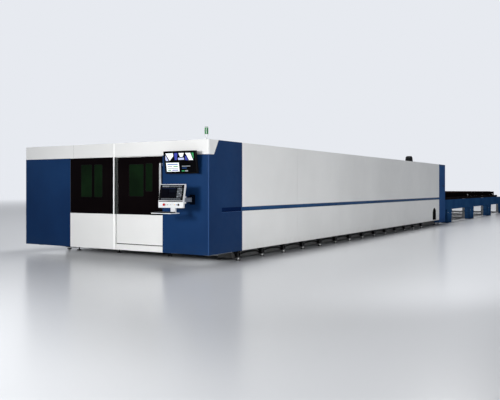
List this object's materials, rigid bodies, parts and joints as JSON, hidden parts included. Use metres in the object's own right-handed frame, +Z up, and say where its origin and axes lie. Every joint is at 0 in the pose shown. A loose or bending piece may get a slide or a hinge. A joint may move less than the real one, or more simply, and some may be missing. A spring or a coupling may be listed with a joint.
{
  "type": "fiber laser cutting machine",
  "caption": "Long enclosed laser cutting hall with a two-tone front, sliding door, swing console and a two-level exchange table behind its rear portal.",
  "frame": {"origin": "floor level under the centre of the whole line's outer box", "axes": "+Y runs along the machine from the cabin's front to the exchange table, +X to the right seen from the front, +Z up"},
  "size_m": [5.3, 32.719, 2.747],
  "materials": {
    "blue_paint": "satin powder coat",
    "stripe_blue": "satin powder coat",
    "white_paint": "satin powder coat",
    "bright_trim": "gloss",
    "dark_glazing": "gloss black",
    "green_glass": "laser safety glazing",
    "lamp_green": "clear moulded lens",
    "machine_grey": "satin",
    "black_steel": "matt",
    "ground_steel": "ground",
    "black_plastic": "fine texture",
    "grey_plastic": "fine texture",
    "red_plastic": "gloss"
  },
  "bodies": {
    "machine": {"left_cabin_shell": "blue_paint", "right_cabin_shell": "blue_paint", "rear_portal": "blue_paint", "table_side_rails": "blue_paint", "table_legs": "blue_paint", "side_stripes": "stripe_blue", "header": "white_paint", "fixed_leaf": "white_paint", "door_tracks": "white_paint", "upper_side_panels": "white_paint", "lower_side_panels": "white_paint", "roof_panels": "white_paint", "signal_pole": "white_paint", "wall_brackets": "white_paint", "centre_post": "bright_trim", "fixed_leaf_glazing": "dark_glazing", "fixed_leaf_windows": "green_glass", "signal_lamp": "lamp_green", "bed_side_beams": "machine_grey", "bed_cross_frame": "machine_grey", "laser_source_cabinet": "machine_grey", "electrical_cabinet": "machine_grey", "table_frame": "machine_grey", "levelling_feet": "black_steel", "scrap_chute": "black_steel", "duct_collar": "black_steel", "gantry_rails": "ground_steel", "pallet_rails": "ground_steel", "roof_vent": "black_plastic"},
    "door": {"door_panel": "white_paint", "door_glazing": "dark_glazing", "door_windows": "green_glass", "door_handle": "bright_trim"},
    "gate": {"rear_gate": "blue_paint"},
    "gantry": {"gantry_beam": "machine_grey", "gantry_trucks": "machine_grey"},
    "carriage": {"cross_carriage": "machine_grey"},
    "head": {"head_slide": "ground_steel", "cutting_head": "ground_steel"},
    "lift": {"lift_rack": "machine_grey"},
    "upper_pallet": {"upper_pallet_frame": "black_steel", "upper_pallet_slats": "black_steel"},
    "lower_pallet": {"lower_pallet_frame": "black_steel", "lower_pallet_slats": "black_steel"},
    "monitor": {"monitor_housing": "black_plastic", "monitor_screen": "black_plastic"},
    "arm": {"swing_arm": "white_paint"},
    "console": {"console_housing": "white_paint", "console_screen": "black_plastic", "keyboard_tray": "white_paint", "keyboard": "grey_plastic"},
    "stop_button": {"emergency_stop": "red_plastic"},
    "start_button": {"start_button": "grey_plastic"},
    "selector": {"selector_knob": "black_plastic"},
    "upper_wheels_1": {"upper_pallet_wheelset_1": "ground_steel"},
    "upper_wheels_2": {"upper_pallet_wheelset_2": "ground_steel"},
    "upper_wheels_3": {"upper_pallet_wheelset_3": "ground_steel"},
    "lower_wheels_1": {"lower_pallet_wheelset_1": "ground_steel"},
    "lower_wheels_2": {"lower_pallet_wheelset_2": "ground_steel"},
    "lower_wheels_3": {"lower_pallet_wheelset_3": "ground_steel"}
  },
  "joints": [
    {"name": "door_slide", "type": "slide", "parent": "machine", "child": "door", "axis": [-1, 0, 0], "range_m": [0, 1.15]},
    {"name": "gate_drop", "type": "slide", "parent": "machine", "child": "gate", "axis": [0, 0, -1], "range_m": [0, 0.8]},
    {"name": "gantry_travel", "type": "slide", "parent": "machine", "child": "gantry", "axis": [0, 1, 0], "range_m": [0, 13.15]},
    {"name": "carriage_travel", "type": "slide", "parent": "gantry", "child": "carriage", "axis": [1, 0, 0], "range_m": [-1.75, 1.75]},
    {"name": "head_height", "type": "slide", "parent": "carriage", "child": "head", "axis": [0, 0, 1], "range_m": [-0.3, 0]},
    {"name": "table_lift", "type": "slide", "parent": "machine", "child": "lift", "axis": [0, 0, 1], "range_m": [-0.3, 0]},
    {"name": "upper_pallet_shuttle", "type": "slide", "parent": "lift", "child": "upper_pallet", "axis": [0, -1, 0], "range_m": [0, 14.79]},
    {"name": "upper_wheel_spin_1", "type": "hinge", "parent": "upper_pallet", "child": "upper_wheels_1", "pos_m": [0, 2.5495, 1.1503], "axis": [1, 0, 0], "continuous": true},
    {"name": "upper_wheel_spin_2", "type": "hinge", "parent": "upper_pallet", "child": "upper_wheels_2", "pos_m": [0, 8.9495, 1.1503], "axis": [1, 0, 0], "continuous": true},
    {"name": "upper_wheel_spin_3", "type": "hinge", "parent": "upper_pallet", "child": "upper_wheels_3", "pos_m": [0, 15.3495, 1.1503], "axis": [1, 0, 0], "continuous": true},
    {"name": "lower_pallet_shuttle", "type": "slide", "parent": "lift", "child": "lower_pallet", "axis": [0, -1, 0], "range_m": [0, 14.79]},
    {"name": "lower_wheel_spin_1", "type": "hinge", "parent": "lower_pallet", "child": "lower_wheels_1", "pos_m": [0, 2.5495, 0.8503], "axis": [1, 0, 0], "continuous": true},
    {"name": "lower_wheel_spin_2", "type": "hinge", "parent": "lower_pallet", "child": "lower_wheels_2", "pos_m": [0, 8.9495, 0.8503], "axis": [1, 0, 0], "continuous": true},
    {"name": "lower_wheel_spin_3", "type": "hinge", "parent": "lower_pallet", "child": "lower_wheels_3", "pos_m": [0, 15.3495, 0.8503], "axis": [1, 0, 0], "continuous": true},
    {"name": "monitor_tilt", "type": "hinge", "parent": "machine", "child": "monitor", "pos_m": [2.062, -15.7645, 2.063], "axis": [1, 0, 0], "range_deg": [-8, 12]},
    {"name": "arm_swing", "type": "hinge", "parent": "machine", "child": "arm", "pos_m": [2.262, -15.7695, 1.31], "axis": [0, 0, 1], "range_deg": [-30, 40]},
    {"name": "console_turn", "type": "hinge", "parent": "arm", "child": "console", "pos_m": [2.262, -15.9795, 1.31], "axis": [0, 0, -1], "range_deg": [-75, 35]},
    {"name": "stop_push", "type": "slide", "parent": "console", "child": "stop_button", "axis": [0, 1, 0], "range_m": [0, 0.006], "stiffness_N_per_m": 1500, "springref_m": -0.002},
    {"name": "start_push", "type": "slide", "parent": "console", "child": "start_button", "axis": [0, 1, 0], "range_m": [0, 0.003], "stiffness_N_per_m": 800, "springref_m": -0.001},
    {"name": "selector_turn", "type": "hinge", "parent": "console", "child": "selector", "pos_m": [2.254, -16.1395, 1.218], "axis": [0, 1, 0], "range_deg": [-45, 45]}
  ],
  "couplings": [
    {"joint": "upper_wheel_spin_1", "follows": "upper_pallet_shuttle", "rad_per_m": 16.667},
    {"joint": "upper_wheel_spin_2", "follows": "upper_pallet_shuttle", "rad_per_m": 16.667},
    {"joint": "upper_wheel_spin_3", "follows": "upper_pallet_shuttle", "rad_per_m": 16.667},
    {"joint": "lower_wheel_spin_1", "follows": "lower_pallet_shuttle", "rad_per_m": 16.667},
    {"joint": "lower_wheel_spin_2", "follows": "lower_pallet_shuttle", "rad_per_m": 16.667},
    {"joint": "lower_wheel_spin_3", "follows": "lower_pallet_shuttle", "rad_per_m": 16.667}
  ]
}
